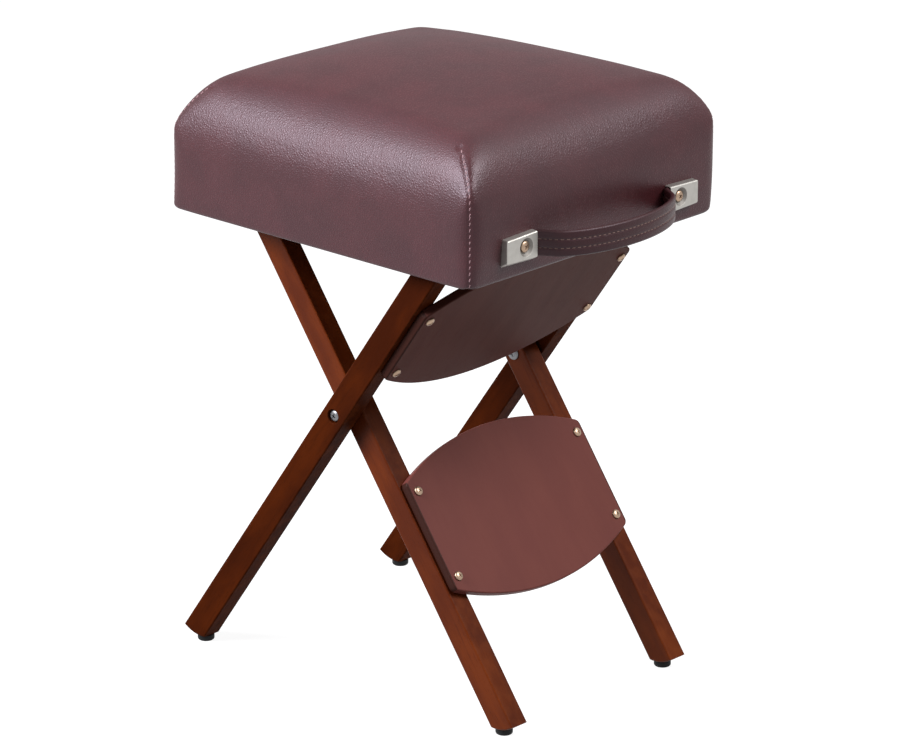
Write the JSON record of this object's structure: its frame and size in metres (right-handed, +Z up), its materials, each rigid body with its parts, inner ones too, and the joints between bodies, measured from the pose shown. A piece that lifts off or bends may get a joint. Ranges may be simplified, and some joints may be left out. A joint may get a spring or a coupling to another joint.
{
  "type": "folding massage stool",
  "caption": "Folding stool for massage work: thick padded leatherette seat with a strap handle, on crossed wooden leg frames that scissor shut about a common pivot.",
  "frame": {"origin": "on the floor, at the middle of the overall length and width of the open stool", "axes": "+Z up, +X towards the handle end of the seat, +Y along the legs' pivot axis"},
  "size_m": [0.4602, 0.357, 0.608],
  "materials": {
    "leg_wood": "stained, satin lacquer",
    "plate_wood": "stained, satin lacquer",
    "core_wood": "bare plywood and pine",
    "leatherette": "grained, semi-matt",
    "foam": "open-cell foam",
    "nickel": "satin nickel plate",
    "steel": "zinc plate",
    "plated_screw": "brassy plate",
    "glide": "black plastic"
  },
  "bodies": {
    "outer_frame": {"outer_leg_left": "leg_wood", "outer_leg_right": "leg_wood", "upper_plate": "plate_wood", "upper_plate_screw_1": "plated_screw", "upper_plate_screw_2": "plated_screw", "upper_plate_screw_3": "plated_screw", "upper_plate_screw_4": "plated_screw", "outer_foot_left": "glide", "outer_foot_right": "glide", "pivot_bolt_left": "steel", "pivot_bolt_right": "steel", "pivot_washer_left": "steel", "pivot_washer_right": "steel"},
    "inner_frame": {"inner_leg_left": "leg_wood", "inner_leg_right": "leg_wood", "lower_plate": "plate_wood", "top_rail": "leg_wood", "lower_plate_screw_1": "plated_screw", "lower_plate_screw_2": "plated_screw", "lower_plate_screw_3": "plated_screw", "lower_plate_screw_4": "plated_screw", "inner_foot_left": "glide", "inner_foot_right": "glide", "pivot_nut_left": "steel", "pivot_nut_right": "steel", "top_rail_screw_left": "steel", "top_rail_screw_right": "steel"},
    "seat": {"seat_cover": "leatherette", "seat_foam": "foam", "seat_board": "core_wood", "handle_rail": "core_wood", "back_rail": "core_wood", "handle_strap": "leatherette", "runner_screw_1": "steel", "runner_screw_2": "steel", "runner_screw_3": "steel", "runner_screw_4": "steel", "side_rail_left": "core_wood", "side_rail_right": "core_wood", "runner_left": "core_wood", "runner_right": "core_wood", "hinge_bolt_left": "steel", "hinge_bolt_right": "steel", "hinge_washer_left": "steel", "hinge_washer_right": "steel", "handle_cap_left": "nickel", "handle_cap_right": "nickel", "handle_screw_left": "plated_screw", "handle_screw_right": "plated_screw"}
  },
  "joints": [
    {"name": "leg_pivot", "type": "hinge", "parent": "outer_frame", "child": "inner_frame", "pos_m": [-0.01965, 0, 0.28598], "axis": [0, 1, 0], "range_deg": [0, 69]},
    {"name": "seat_hinge", "type": "hinge", "parent": "outer_frame", "child": "seat", "pos_m": [0.11205, 0, 0.47], "axis": [0, 1, 0], "range_deg": [0, 34.5]}
  ],
  "couplings": [
    {"joint": "seat_hinge", "follows": "leg_pivot", "ratio": 0.5}
  ]
}
